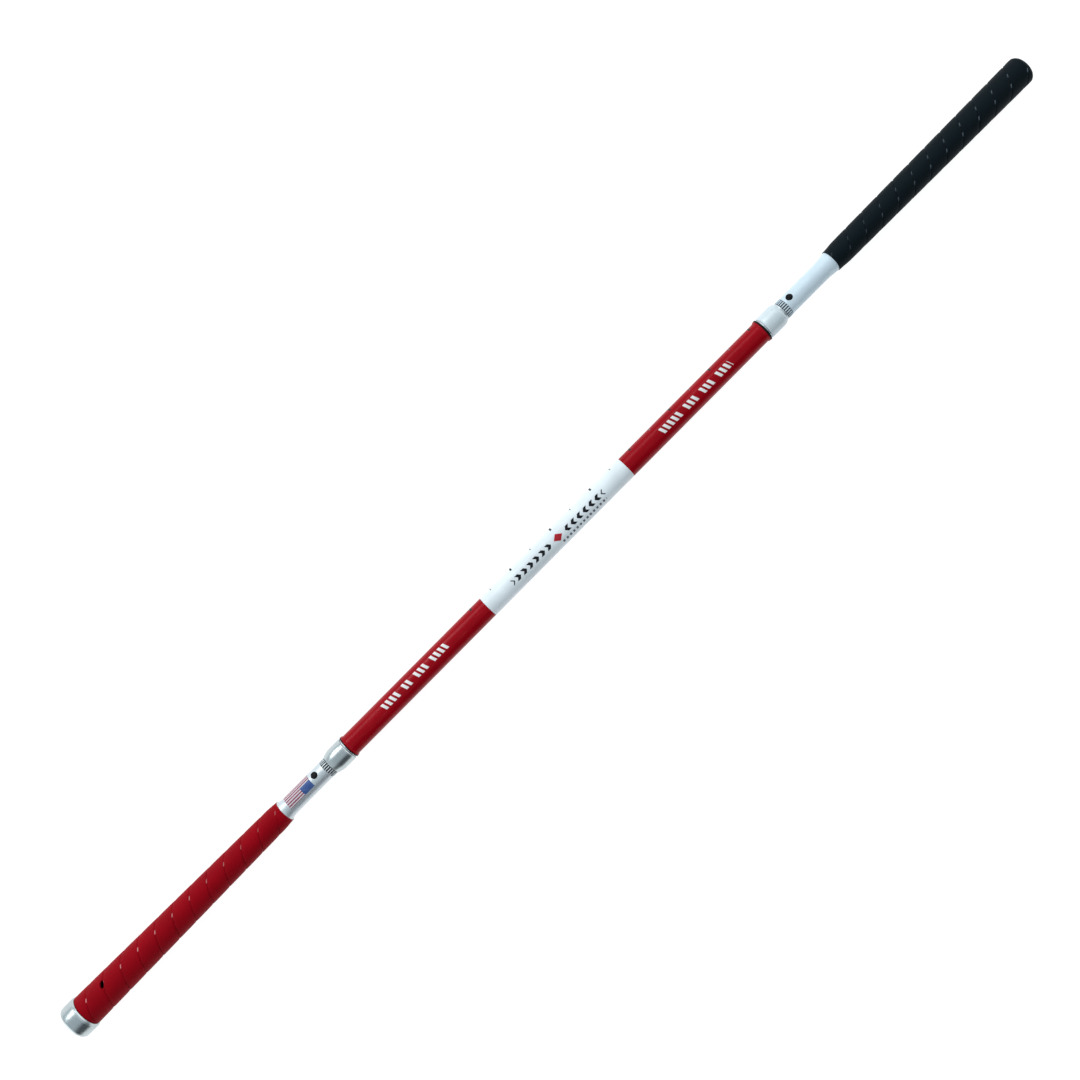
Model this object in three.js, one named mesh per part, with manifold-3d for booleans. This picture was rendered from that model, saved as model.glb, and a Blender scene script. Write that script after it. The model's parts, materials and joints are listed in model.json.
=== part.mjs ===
// A 48 inch golf swing trainer stick in millimetres, lying along X with +Z up.
// The weighted handle with its metal end cap is at -X and the plain handle is at +X.
// The origin is on the long axis, halfway between the two ends. The stick lies rolled about its
// long axis, so that both snap buttons face up and a little towards +Y.
//
// The sleeved centre tube carries a spigot at each end. A handle tube slides over each spigot,
// a snap button locks it there, and a screwed collar pushes a thrust ring against its end to
// take the play out. The weighted handle holds steel slugs, a spring and a screw-in end cap.
//
// Each end is drawn unrolled in a frame of its own: +X points outwards along the stick, x = 0 is
// the end of the coloured sleeves and the button faces +Z. Outlines are lists of [x, radius].

import * as THREE from 'three';
import { mergeVertices } from 'three/addons/utils/BufferGeometryUtils.js';
import Module from 'manifold-3d';

const wasm = await Module();
wasm.setup();

// Overall layout
const LENGTH = 1219.2;
const ROLL_DEGREES = 28;
const HEAVY_JOINT_X = -256.9;
const LIGHT_JOINT_X = 275;
const LABEL_FROM_X = -78;
const LABEL_TO_X = 99.2;

// Facets round most pieces, and round the handle tubes, whose serrations need twice their own number
const FACETS = 24;
const TUBE_FACETS = 36;

// Gaps between two pieces that touch on the real stick, that slide on each other, and that a
// piece needs to move in
const GAP = 0.1;
const SLIDING_GAP = 0.2;
const MOVING_GAP = 0.3;

// Centre tube and sleeves
const CENTRE_R = 10.2;
const CENTRE_BORE_R = 8.8;
const CENTRE_PAST_SLEEVE = 3;
const SLEEVE_R = 10.55;
const LABEL_R = 10.6;
const LIP_R = 11.4;
const LIP_FLAT = 0.5;
const LIP_LENGTH = 2.5;
const SEAL_R = 11.6;

// Spigots, and the necks of the handle tubes that go over them
const SPIGOT_R = 7.85;
const SPIGOT_BORE_R = 5.8;
const SPIGOT_IN_CENTRE = 42;
const SPIGOT_LENGTH = 64;
const SPIGOT_LEAD_IN = 1.5;
const SPIGOT_LEAD_IN_R = 7.25;
const NECK_BORE_R = 8;
const GRIPPED_TUBE_WALL = 1;

// O-rings, and the grooves that hold them
const O_RING_X = 54;
const O_RING_R = 7.3;
const O_RING_WIRE_R = 0.6;
const O_RING_FACETS = 6;
const O_RING_GROOVE_R = 6.6;
const O_RING_GROOVE_WIDTH = 1.5;

// Screwed collars
const COLLAR_R = 12.1;
const COLLAR_TRAVEL = 1;
const COLLAR_FROM = COLLAR_TRAVEL + MOVING_GAP;
const COLLAR_BORE_R = 10.4;
const COLLAR_NOSE_R = 9.5;
const COLLAR_TAPER = 4.8;
const COLLAR_WALL = 1.2;
const COLLAR_CHAMFER = 0.4;
const FERRULE_R = 10;
const FERRULE_CHAMFER = 0.6;
const THRUST_R = 8.6;

// Finger serrations at the end of each handle tube
const SERRATIONS = 18;
const SERRATION_LENGTH = 6;
const SERRATION_END = 0.4;
const SERRATION_WIDTH = 1.3;
const SERRATION_DEPTH = 0.5;
const SERRATION_RISE = 0.2;

// Snap buttons. The rounded edge of the top is a list of [inset, drop].
const BUTTON_R = 3.15;
const BUTTON_HOLE_R = 3.35;
const BUTTON_TOP_Z = 10.2;
const BUTTON_EDGE = [[0, 0.75], [0.35, 0.3], [1.1, 0.08], [BUTTON_R, 0]];
const BUTTON_FLANGE_R = 4.2;
const BUTTON_FLANGE_TOP_Z = 5.4;
const BUTTON_FLANGE_THICKNESS = 1;

// The hairpin springs under them. The bend is a list of [distance back from its tip, z].
const HAIRPIN_LENGTH = 24;
const HAIRPIN_PAD = 4;
const HAIRPIN_BOTTOM_Z = -5;
const HAIRPIN_BEND = [
  [2, 0.4], [0.6, -0.1], [0, -1.2], [0.6, -2.3], [2, -2.9], [8, -4.2], [14, HAIRPIN_BOTTOM_Z],
];
const HAIRPIN_WIDTH = 4.4;
const HAIRPIN_THICKNESS = 0.5;

// Striped film on the weighted handle's neck
const STICKER_FROM = 44.45;
const STICKER_TO = 74.2;
const STICKER_FACETS_EACH_WAY = 5;
const STICKER_THICKNESS = 0.12;

// Grips: the mouth that faces the joint, the shoulder where it has widened, then the butt
const GRIP_GAP = 0.1;
const HEAVY_GRIP_FROM = 81.6;
const HEAVY_GRIP_TO = 335.6;
const HEAVY_MOUTH_R = 10.95;
const HEAVY_SHOULDER = [10, 11.85];
const HEAVY_BUTT_R = 15.7;
const LIGHT_GRIP_FROM = 87;
const LIGHT_MOUTH_R = 11;
const LIGHT_SHOULDERS = [[4, 11.1], [12, 11.85]];
const LIGHT_BUTT_R = 13.85;
const LIGHT_BUTT_ROUND_R = 6;
const LIGHT_BUTT_WALL = 5;
const VENT_R = 1.2;
const PLUG_R = 9.2;
const PLUG_LENGTH = 11.5;

// End cap and the insert that it screws into
const CAP_R = 17;
const CAP_FROM = 336;
const CAP_THICKNESS = 6;
const CAP_RECESS_R = 11;
const CAP_BACK_CHAMFER = 0.9;
const CAP_FRONT_ROUND = 2.4;
const CAP_STEM_R = 7;
const CAP_STEM_LENGTH = 19;
const CAP_STEM_CHAMFER = 0.8;
const CAP_SOCKET_ACROSS = 8;
const CAP_SOCKET_DEPTH = 5;
const INSERT_FROM = 296.5;
const INSERT_R = 9.4;

// Grub screw that locks the insert, and the slanting hole in the grip that gives access to it
const GRUB_X = 304.2;
const GRUB_R = 2.4;
const GRUB_LENGTH = 2.9;
const GRUB_HOLE_R = 2.6;
const GRUB_SOCKET_R = 1.25;
const GRUB_SOCKET_DEPTH = 1.6;
const ACCESS_HALF_WIDTH = 2;
const ACCESS_HALF_LENGTH = 3.6;
const ACCESS_SLANT_DEGREES = 30;

// Ballast in the weighted handle
const LINER_FROM = 143;
const LINER_R = 9.4;
const STOP_LENGTH = 10.7;
const PAD_LENGTH = 2.9;
const SLUG_R = 7;
const SLUG_LENGTH = 50;
const SLUG_COUNT = 3;
const SPRING_R = 5.4;
const SPRING_WIRE_R = 0.6;
const SPRING_TURNS = 5;
const THRUST_PAD_LENGTH = 2.8;

// Finishes: colour, roughness, metalness
const FINISHES = {
  bareAluminium: [0xc9d2d6, 0.32, 1],
  paintedTube: [0xc6d6de, 0.4, 0.3],
  polishedAluminium: [0xd8dee0, 0.2, 1],
  blackAnodised: [0x1d1f21, 0.5, 0.6],
  steel: [0x9a9c9d, 0.35, 1],
  springSteel: [0x7f8385, 0.4, 1],
  brass: [0xb59a55, 0.35, 1],
  redSleeve: [0x97101f, 0.3, 0],
  whiteSleeve: [0xdfe7eb, 0.3, 0],
  redRubber: [0x7d1420, 0.7, 0],
  blackRubber: [0x1a2023, 0.75, 0],
  blackPlastic: [0x15181a, 0.45, 0],
  whiteNylon: [0xd9d7cf, 0.5, 0],
  printedFilm: [0xb8c0d8, 0.45, 0],
};

// ---- Solids ----

// One closed mesh with shared corners and no collapsed triangles.
function welded(geometry) {
  geometry.deleteAttribute('normal');
  geometry.deleteAttribute('uv');
  const merged = mergeVertices(geometry, 1e-4);
  const corners = merged.index.array;
  const kept = [];
  for (let i = 0; i < corners.length; i += 3) {
    const [a, b, c] = corners.slice(i, i + 3);
    if (a !== b && b !== c && c !== a) kept.push(a, b, c);
  }
  merged.setIndex(kept);
  return merged;
}

function toManifold(geometry) {
  const closed = welded(geometry);
  const mesh = new wasm.Mesh({
    numProp: 3,
    vertProperties: new Float32Array(closed.attributes.position.array),
    triVerts: new Uint32Array(closed.index.array),
  });
  return new wasm.Manifold(mesh);
}

function fromManifold(manifold) {
  const mesh = manifold.getMesh();
  const geometry = new THREE.BufferGeometry();
  geometry.setAttribute('position', new THREE.BufferAttribute(mesh.vertProperties, 3));
  geometry.setIndex(new THREE.BufferAttribute(mesh.triVerts, 1));
  return geometry;
}

function cut(geometry, cutters) {
  let body = toManifold(geometry);
  for (const cutter of cutters) body = body.subtract(toManifold(cutter));
  return fromManifold(body);
}

// A solid of revolution about X. The outline closes on itself, or runs from the axis to the axis.
function turned(outline, facets = FACETS) {
  const points = outline.map(([x, r]) => new THREE.Vector2(r, x));
  if (THREE.ShapeUtils.area(points) < 0) points.reverse();
  if (outline.some(([, r]) => r === 0) === false) points.push(points[0].clone());
  const geometry = new THREE.LatheGeometry(points, facets);
  geometry.rotateZ(-Math.PI / 2);
  return geometry;
}

function ring(from, to, innerR, outerR, facets = FACETS) {
  return turned([[from, innerR], [to, innerR], [to, outerR], [from, outerR]], facets);
}

function rod(from, to, r, facets = FACETS) {
  return turned([[from, 0], [from, r], [to, r], [to, 0]], facets);
}

// A cylinder standing on the stick's axis, parallel to Z.
function upright(x, fromZ, toZ, r, facets = FACETS) {
  const geometry = new THREE.CylinderGeometry(r, r, toZ - fromZ, facets);
  geometry.rotateX(Math.PI / 2);
  geometry.translate(x, 0, (fromZ + toZ) / 2);
  return geometry;
}

function grubHole() {
  return upright(GRUB_X, CAP_STEM_R / 2, 2 * INSERT_R, GRUB_HOLE_R);
}

// A strip of even thickness that follows points in the XZ plane, centred on Y = 0.
function strip(centreline, thickness, width) {
  const offsets = centreline.map((point, i) => {
    const before = centreline[Math.max(i - 1, 0)];
    const after = centreline[Math.min(i + 1, centreline.length - 1)];
    const along = after.clone().sub(before).normalize();
    return new THREE.Vector2(-along.y, along.x).multiplyScalar(thickness / 2);
  });
  const left = centreline.map((point, i) => point.clone().add(offsets[i]));
  const right = centreline.map((point, i) => point.clone().sub(offsets[i]));
  const shape = new THREE.Shape([...left, ...right.reverse()]);
  const geometry = new THREE.ExtrudeGeometry(shape, { depth: width, bevelEnabled: false });
  geometry.translate(0, 0, -width / 2);
  geometry.rotateX(Math.PI / 2);
  return geometry;
}

// A round wire that winds about X.
class Helix extends THREE.Curve {
  constructor(from, to, radius, turns) {
    super();
    Object.assign(this, { from, to, radius, turns });
  }

  getPoint(t, target = new THREE.Vector3()) {
    const angle = 2 * Math.PI * this.turns * t;
    const x = THREE.MathUtils.lerp(this.from, this.to, t);
    return target.set(x, this.radius * Math.cos(angle), this.radius * Math.sin(angle));
  }
}

function coil(from, to, radius, turns, wireR) {
  const section = new THREE.Shape();
  section.absarc(0, 0, wireR, 0, 2 * Math.PI);
  return new THREE.ExtrudeGeometry(section, {
    steps: turns * 10,
    curveSegments: 3,
    bevelEnabled: false,
    extrudePath: new Helix(from + wireR, to - wireR, radius, turns),
  });
}

function piece(name, geometry, finish) {
  const [color, roughness, metalness] = FINISHES[finish];
  const body = welded(geometry.clone());
  body.computeVertexNormals();
  const mesh = new THREE.Mesh(body, new THREE.MeshStandardMaterial({ color, roughness, metalness }));
  mesh.name = name;
  return mesh;
}

// ---- Centre section ----

// A sleeve that rolls out into a lip at its outer end. `dir` is the way outwards, -1 or 1.
function lippedSleeve(innerEndX, outerEndX, dir) {
  const bore = CENTRE_R + GAP;
  return turned([
    [innerEndX, bore],
    [outerEndX, bore],
    [outerEndX, LIP_R],
    [outerEndX - dir * LIP_FLAT, LIP_R],
    [outerEndX - dir * LIP_LENGTH, SLEEVE_R],
    [innerEndX, SLEEVE_R],
  ]);
}

function centreSection(heavy, light) {
  const tubeFrom = HEAVY_JOINT_X - CENTRE_PAST_SLEEVE;
  const tubeTo = LIGHT_JOINT_X + CENTRE_PAST_SLEEVE;
  const redHeavyFrom = HEAVY_JOINT_X + heavy.sealWidth + GAP;
  const redLightTo = LIGHT_JOINT_X - light.sealWidth - GAP;
  const sleeveBore = CENTRE_R + GAP;
  return [
    piece('centre_tube', ring(tubeFrom, tubeTo, CENTRE_BORE_R, CENTRE_R), 'bareAluminium'),
    piece('red_sleeve_heavy', lippedSleeve(LABEL_FROM_X - GAP, redHeavyFrom, -1), 'redSleeve'),
    piece('label_sleeve', ring(LABEL_FROM_X, LABEL_TO_X, sleeveBore, LABEL_R), 'whiteSleeve'),
    piece('red_sleeve_light', lippedSleeve(LABEL_TO_X + GAP, redLightTo, 1), 'redSleeve'),
  ];
}

// ---- Joints between the centre section and the handles ----

function spigot(end) {
  const grooveFrom = O_RING_X - O_RING_GROOVE_WIDTH / 2;
  const grooveTo = O_RING_X + O_RING_GROOVE_WIDTH / 2;
  const body = turned([
    [-SPIGOT_IN_CENTRE, SPIGOT_BORE_R],
    [SPIGOT_LENGTH, SPIGOT_BORE_R],
    [SPIGOT_LENGTH, SPIGOT_LEAD_IN_R],
    [SPIGOT_LENGTH - SPIGOT_LEAD_IN, SPIGOT_R],
    [grooveTo, SPIGOT_R],
    [grooveTo, O_RING_GROOVE_R],
    [grooveFrom, O_RING_GROOVE_R],
    [grooveFrom, SPIGOT_R],
    [CENTRE_PAST_SLEEVE, SPIGOT_R],
    [CENTRE_PAST_SLEEVE, CENTRE_BORE_R - GAP],
    [-SPIGOT_IN_CENTRE, CENTRE_BORE_R - GAP],
  ]);
  const pocketTop = BUTTON_FLANGE_TOP_Z + MOVING_GAP;
  const flangePocket = upright(end.buttonX, 0, pocketTop, BUTTON_FLANGE_R + MOVING_GAP);
  return cut(body, [upright(end.buttonX, 0, 2 * SPIGOT_R, BUTTON_HOLE_R), flangePocket]);
}

function oRing() {
  const outline = [];
  for (let i = 0; i < O_RING_FACETS; i += 1) {
    const angle = (2 * Math.PI * i) / O_RING_FACETS;
    outline.push([O_RING_X + O_RING_WIRE_R * Math.cos(angle), O_RING_R + O_RING_WIRE_R * Math.sin(angle)]);
  }
  return turned(outline);
}

// The collar screws along the ferrule. Its front wall pushes the thrust ring outwards.
function collar(end) {
  const nose = end.collarTo;
  const counterbore = end.thrustFrom - GAP;
  const wallBack = counterbore - COLLAR_WALL;
  return turned([
    [COLLAR_FROM, COLLAR_BORE_R],
    [wallBack, COLLAR_BORE_R],
    [wallBack, SPIGOT_R + SLIDING_GAP],
    [counterbore, SPIGOT_R + SLIDING_GAP],
    [counterbore, THRUST_R + SLIDING_GAP],
    [nose, THRUST_R + SLIDING_GAP],
    [nose, COLLAR_NOSE_R],
    [nose - COLLAR_TAPER, COLLAR_R],
    [COLLAR_FROM + COLLAR_CHAMFER, COLLAR_R],
    [COLLAR_FROM, COLLAR_R - COLLAR_CHAMFER],
  ]);
}

function ferrule(end) {
  const from = CENTRE_PAST_SLEEVE + SLIDING_GAP;
  const to = end.thrustFrom - GAP - COLLAR_WALL - COLLAR_TRAVEL - MOVING_GAP;
  return turned([
    [from, SPIGOT_R + GAP],
    [to, SPIGOT_R + GAP],
    [to, FERRULE_R - FERRULE_CHAMFER],
    [to - FERRULE_CHAMFER, FERRULE_R],
    [from, FERRULE_R],
  ]);
}

// Plain, or with a flange that shows between the collar and the handle tube.
function thrustRing(end) {
  const to = end.tubeFrom - SLIDING_GAP;
  const outline = [[end.thrustFrom, SPIGOT_R + GAP], [to, SPIGOT_R + GAP]];
  if (end.thrustFlangeR) {
    const flangeFrom = end.collarTo + SLIDING_GAP;
    outline.push([to, end.thrustFlangeR], [flangeFrom, end.thrustFlangeR], [flangeFrom, THRUST_R]);
  } else {
    outline.push([to, THRUST_R]);
  }
  outline.push([end.thrustFrom, THRUST_R]);
  return turned(outline);
}

function snapButton(end) {
  const base = BUTTON_FLANGE_TOP_Z - BUTTON_FLANGE_THICKNESS;
  const points = [
    [0, base],
    [BUTTON_FLANGE_R, base],
    [BUTTON_FLANGE_R, BUTTON_FLANGE_TOP_Z],
    [BUTTON_R, BUTTON_FLANGE_TOP_Z],
    ...BUTTON_EDGE.map(([inset, drop]) => [BUTTON_R - inset, BUTTON_TOP_Z - drop]),
  ];
  const outline = points.map(([r, z]) => new THREE.Vector2(r, z));
  const geometry = new THREE.LatheGeometry(outline, FACETS);
  geometry.rotateX(Math.PI / 2);
  geometry.translate(end.buttonX, 0, 0);
  return geometry;
}

// A hairpin of flat spring steel inside the spigot: one leg under the button, one on the far wall.
function buttonSpring(end) {
  const legTop = BUTTON_FLANGE_TOP_Z - BUTTON_FLANGE_THICKNESS - HAIRPIN_THICKNESS;
  const centreline = [
    [-HAIRPIN_PAD, legTop],
    [HAIRPIN_PAD, legTop],
    ...HAIRPIN_BEND.map(([back, z]) => [HAIRPIN_LENGTH - back, z]),
    [-HAIRPIN_PAD, HAIRPIN_BOTTOM_Z],
  ].map(([x, z]) => new THREE.Vector2(end.buttonX + x, z));
  return strip(centreline, HAIRPIN_THICKNESS, HAIRPIN_WIDTH);
}

function joint(side, end) {
  return [
    piece(`seal_ring_${side}`, ring(-end.sealWidth, 0, CENTRE_R + GAP, SEAL_R), 'blackPlastic'),
    piece(`spigot_${side}`, spigot(end), 'bareAluminium'),
    piece(`ferrule_${side}`, ferrule(end), 'blackAnodised'),
    piece(`o_ring_${side}`, oRing(), 'blackRubber'),
    piece(`thrust_ring_${side}`, thrustRing(end), 'bareAluminium'),
    piece(`collar_${side}`, collar(end), 'polishedAluminium'),
    piece(`snap_button_${side}`, snapButton(end), 'blackPlastic'),
    piece(`button_spring_${side}`, buttonSpring(end), 'springSteel'),
  ];
}

// ---- Handle tubes ----

// Grooves that run lengthwise across a raised band at the joint end of the tube.
function serrationCutters(end) {
  const cutters = [];
  const length = SERRATION_LENGTH - 2 * SERRATION_END;
  const topR = end.neckR + SERRATION_RISE;
  for (let i = 0; i < SERRATIONS; i += 1) {
    const cutter = new THREE.BoxGeometry(length, SERRATION_WIDTH, 2 * SERRATION_DEPTH);
    cutter.translate(end.tubeFrom + SERRATION_LENGTH / 2, 0, topR);
    cutter.rotateX((2 * Math.PI * i) / SERRATIONS);
    cutters.push(cutter);
  }
  return cutters;
}

// Neck, swaged flare, then the wider stretch under the grip.
function handleTube(end) {
  const bandR = end.neckR + SERRATION_RISE;
  const bandTo = end.tubeFrom + SERRATION_LENGTH;
  const gripBoreR = end.grippedR - GRIPPED_TUBE_WALL;
  const [flareFrom] = end.flare[0];
  const [flareTo] = end.flare[end.flare.length - 1];
  const body = turned([
    [end.tubeFrom, NECK_BORE_R],
    [flareFrom + GRIPPED_TUBE_WALL, NECK_BORE_R],
    [flareTo + GRIPPED_TUBE_WALL, gripBoreR],
    [end.tubeTo, gripBoreR],
    [end.tubeTo, end.grippedR],
    ...end.flare.toReversed(),
    [bandTo, end.neckR],
    [bandTo, bandR],
    [end.tubeFrom, bandR],
  ], TUBE_FACETS);
  const buttonHole = upright(end.buttonX, 0, 2 * end.neckR, BUTTON_HOLE_R);
  return cut(body, [buttonHole, ...serrationCutters(end), ...end.extraHoles]);
}

// A printed film on the upper side of the neck, over a whole number of facets.
function sticker(end) {
  const step = (2 * Math.PI) / TUBE_FACETS;
  const innerR = end.neckR + GAP;
  const arc = (r) => {
    const points = [];
    for (let i = -STICKER_FACETS_EACH_WAY; i <= STICKER_FACETS_EACH_WAY; i += 1) {
      points.push(new THREE.Vector2(r * Math.sin(i * step), r * Math.cos(i * step)));
    }
    return points;
  };
  const shape = new THREE.Shape([...arc(innerR + STICKER_THICKNESS), ...arc(innerR).reverse()]);
  const depth = STICKER_TO - STICKER_FROM;
  const geometry = new THREE.ExtrudeGeometry(shape, { depth, bevelEnabled: false });
  geometry.rotateX(Math.PI / 2);
  geometry.rotateZ(Math.PI / 2);
  geometry.translate(STICKER_FROM, 0, 0);
  return geometry;
}

// ---- Weighted handle ----

function redGrip(end) {
  const bore = end.grippedR + GRIP_GAP;
  const [shoulderLength, shoulderR] = HEAVY_SHOULDER;
  const body = turned([
    [HEAVY_GRIP_FROM, bore],
    [HEAVY_GRIP_TO, bore],
    [HEAVY_GRIP_TO, HEAVY_BUTT_R],
    [HEAVY_GRIP_FROM + shoulderLength, shoulderR],
    [HEAVY_GRIP_FROM, HEAVY_MOUTH_R],
  ]);
  const accessHole = upright(0, 0, 2 * HEAVY_BUTT_R, 1);
  accessHole.scale(ACCESS_HALF_WIDTH, ACCESS_HALF_LENGTH, 1);
  accessHole.rotateZ(-THREE.MathUtils.degToRad(ACCESS_SLANT_DEGREES));
  accessHole.translate(GRUB_X, 0, 0);
  return cut(body, [accessHole]);
}

function endCap() {
  const faceX = LENGTH / 2 + HEAVY_JOINT_X;
  const stemFrom = CAP_FROM - CAP_STEM_LENGTH;
  const recessX = faceX - CAP_THICKNESS;
  const outline = [
    [stemFrom, 0],
    [stemFrom, CAP_STEM_R - CAP_STEM_CHAMFER],
    [stemFrom + CAP_STEM_CHAMFER, CAP_STEM_R],
    [recessX, CAP_STEM_R],
    [recessX, CAP_RECESS_R],
    [CAP_FROM, CAP_RECESS_R],
    [CAP_FROM, CAP_R - CAP_BACK_CHAMFER],
    [CAP_FROM + CAP_BACK_CHAMFER, CAP_R],
  ];
  const steps = 3;
  for (let i = 0; i <= steps; i += 1) {
    const angle = (Math.PI / 2) * (i / steps);
    const x = faceX + CAP_FRONT_ROUND * (Math.sin(angle) - 1);
    outline.push([x, CAP_R + CAP_FRONT_ROUND * (Math.cos(angle) - 1)]);
  }
  outline.push([faceX, 0]);
  const acrossCorners = CAP_SOCKET_ACROSS / Math.cos(Math.PI / 6);
  const socket = rod(faceX - CAP_SOCKET_DEPTH, faceX + 1, acrossCorners / 2, 6);
  return cut(turned(outline), [socket]);
}

function grubScrew(end) {
  const topZ = end.grippedR - SLIDING_GAP;
  const body = upright(GRUB_X, topZ - GRUB_LENGTH, topZ, GRUB_R);
  return cut(body, [upright(GRUB_X, topZ - GRUB_SOCKET_DEPTH, topZ + 1, GRUB_SOCKET_R, 6)]);
}

// A stop and a pad, then the slugs in their liner, then the spring that the cap's pad squeezes.
function ballast() {
  const linerTo = INSERT_FROM - MOVING_GAP;
  const liner = ring(LINER_FROM, linerTo, SLUG_R + SLIDING_GAP, LINER_R);
  const stop = rod(LINER_FROM - MOVING_GAP - STOP_LENGTH, LINER_FROM - MOVING_GAP, LINER_R);
  const pieces = [
    piece('ballast_liner', liner, 'whiteNylon'),
    piece('ballast_stop', stop, 'bareAluminium'),
    piece('ballast_pad', rod(LINER_FROM, LINER_FROM + PAD_LENGTH, SLUG_R), 'blackRubber'),
  ];
  let from = LINER_FROM + PAD_LENGTH + MOVING_GAP;
  for (let i = 1; i <= SLUG_COUNT; i += 1) {
    pieces.push(piece(`ballast_slug_${i}`, rod(from, from + SLUG_LENGTH, SLUG_R), 'steel'));
    from += SLUG_LENGTH + MOVING_GAP;
  }
  const padTo = CAP_FROM - CAP_STEM_LENGTH - SLIDING_GAP;
  const padFrom = padTo - THRUST_PAD_LENGTH;
  const spring = coil(from, padFrom - SLIDING_GAP, SPRING_R, SPRING_TURNS, SPRING_WIRE_R);
  pieces.push(piece('cap_spring', spring, 'springSteel'));
  pieces.push(piece('cap_thrust_pad', rod(padFrom, padTo, SLUG_R - SLIDING_GAP), 'brass'));
  return pieces;
}

function capInsert(end) {
  const body = ring(INSERT_FROM, end.tubeTo - MOVING_GAP, CAP_STEM_R + SLIDING_GAP, INSERT_R);
  return cut(body, [grubHole()]);
}

function weightedHandle(end) {
  return [
    piece('handle_tube_heavy', handleTube(end), 'bareAluminium'),
    piece('striped_sticker', sticker(end), 'printedFilm'),
    piece('red_grip', redGrip(end), 'redRubber'),
    piece('cap_insert', capInsert(end), 'steel'),
    piece('grub_screw', grubScrew(end), 'blackAnodised'),
    ...ballast(),
    piece('end_cap', endCap(), 'polishedAluminium'),
  ];
}

// ---- Plain handle ----

function blackGrip(end) {
  const bore = end.grippedR + GRIP_GAP;
  const butt = LENGTH / 2 - LIGHT_JOINT_X;
  const outline = [
    [butt, VENT_R],
    [butt - LIGHT_BUTT_WALL, VENT_R],
    [butt - LIGHT_BUTT_WALL, bore],
    [LIGHT_GRIP_FROM, bore],
    [LIGHT_GRIP_FROM, LIGHT_MOUTH_R],
    ...LIGHT_SHOULDERS.map(([length, r]) => [LIGHT_GRIP_FROM + length, r]),
  ];
  const steps = 4;
  for (let i = 0; i <= steps; i += 1) {
    const angle = (Math.PI / 2) * (i / steps);
    const x = butt + LIGHT_BUTT_ROUND_R * (Math.sin(angle) - 1);
    outline.push([x, LIGHT_BUTT_R + LIGHT_BUTT_ROUND_R * (Math.cos(angle) - 1)]);
  }
  return turned(outline);
}

function plainHandle(end) {
  const plugTo = end.tubeTo - MOVING_GAP;
  return [
    piece('handle_tube_light', handleTube(end), 'paintedTube'),
    piece('black_grip', blackGrip(end), 'blackRubber'),
    piece('butt_plug', rod(plugTo - PLUG_LENGTH, plugTo, PLUG_R), 'whiteNylon'),
  ];
}

// ---- The whole stick ----

const HEAVY = {
  sealWidth: 0.9,
  collarTo: 22.2,
  thrustFrom: 19.3,
  tubeFrom: 22.5,
  tubeTo: 345.8,
  neckR: 9,
  grippedR: 10.5,
  flare: [[75, 9], [78.2, 9.35], [80.4, 9.95], [HEAVY_GRIP_FROM, 10.5]],
  buttonX: 38.5,
  extraHoles: [grubHole()],
};

const LIGHT = {
  sealWidth: 1.8,
  collarTo: 21.6,
  thrustFrom: 19.9,
  thrustFlangeR: 9.3,
  tubeFrom: 23.5,
  tubeTo: 328.5,
  neckR: 9.15,
  grippedR: 10.4,
  flare: [[72.5, 9.15], [77.5, 9.35], [82, 9.8], [LIGHT_GRIP_FROM, 10.4]],
  buttonX: 35.5,
  extraHoles: [],
};

function endGroup(jointX, turn, meshes) {
  const group = new THREE.Group();
  group.position.x = jointX;
  group.rotation.z = turn;
  group.add(...meshes);
  return group;
}

const stick = new THREE.Group();
stick.name = 'swing_trainer_stick';
stick.rotation.x = -THREE.MathUtils.degToRad(ROLL_DEGREES);
stick.add(...centreSection(HEAVY, LIGHT));
stick.add(endGroup(HEAVY_JOINT_X, Math.PI, [...joint('heavy', HEAVY), ...weightedHandle(HEAVY)]));
stick.add(endGroup(LIGHT_JOINT_X, 0, [...joint('light', LIGHT), ...plainHandle(LIGHT)]));

export default stick;
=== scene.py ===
"""The looks of the swing trainer stick: fine surfaces, finishes, floor, lights and camera.

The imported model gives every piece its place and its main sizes. Outlines, patterns and the
helpers that draw them work in millimetres, and a mesh is scaled to metres as it is made.
"""

import json
import math

import bmesh
import bpy
from bpy.props import (
    FloatProperty,
    FloatVectorProperty,
    IntProperty,
    PointerProperty,
)
from bpy.types import Operator, Panel, PropertyGroup
from mathutils import Matrix, Vector


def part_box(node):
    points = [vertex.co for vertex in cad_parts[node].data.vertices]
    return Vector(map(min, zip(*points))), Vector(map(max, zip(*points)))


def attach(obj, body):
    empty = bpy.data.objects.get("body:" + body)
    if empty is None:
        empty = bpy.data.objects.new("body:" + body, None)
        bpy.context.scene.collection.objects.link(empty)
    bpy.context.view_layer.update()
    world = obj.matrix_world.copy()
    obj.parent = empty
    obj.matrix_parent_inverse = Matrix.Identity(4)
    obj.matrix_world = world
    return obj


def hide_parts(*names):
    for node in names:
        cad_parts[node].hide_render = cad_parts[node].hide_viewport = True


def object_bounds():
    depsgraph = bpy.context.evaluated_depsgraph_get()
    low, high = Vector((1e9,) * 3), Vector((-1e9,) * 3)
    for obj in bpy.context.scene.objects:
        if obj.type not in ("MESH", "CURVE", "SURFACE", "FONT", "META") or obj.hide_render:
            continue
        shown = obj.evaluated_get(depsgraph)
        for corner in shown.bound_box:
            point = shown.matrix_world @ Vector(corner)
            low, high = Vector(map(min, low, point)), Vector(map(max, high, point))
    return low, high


bl_info = {
    "name": "Swing Trainer Stick",
    "version": (1, 0, 0),
    "blender": (4, 5, 0),
    "location": "View3D > Sidebar > Swing Stick",
    "description": "Builds the fine pieces and finishes of a swing trainer stick round its CAD model",
    "category": "Object",
}

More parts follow.
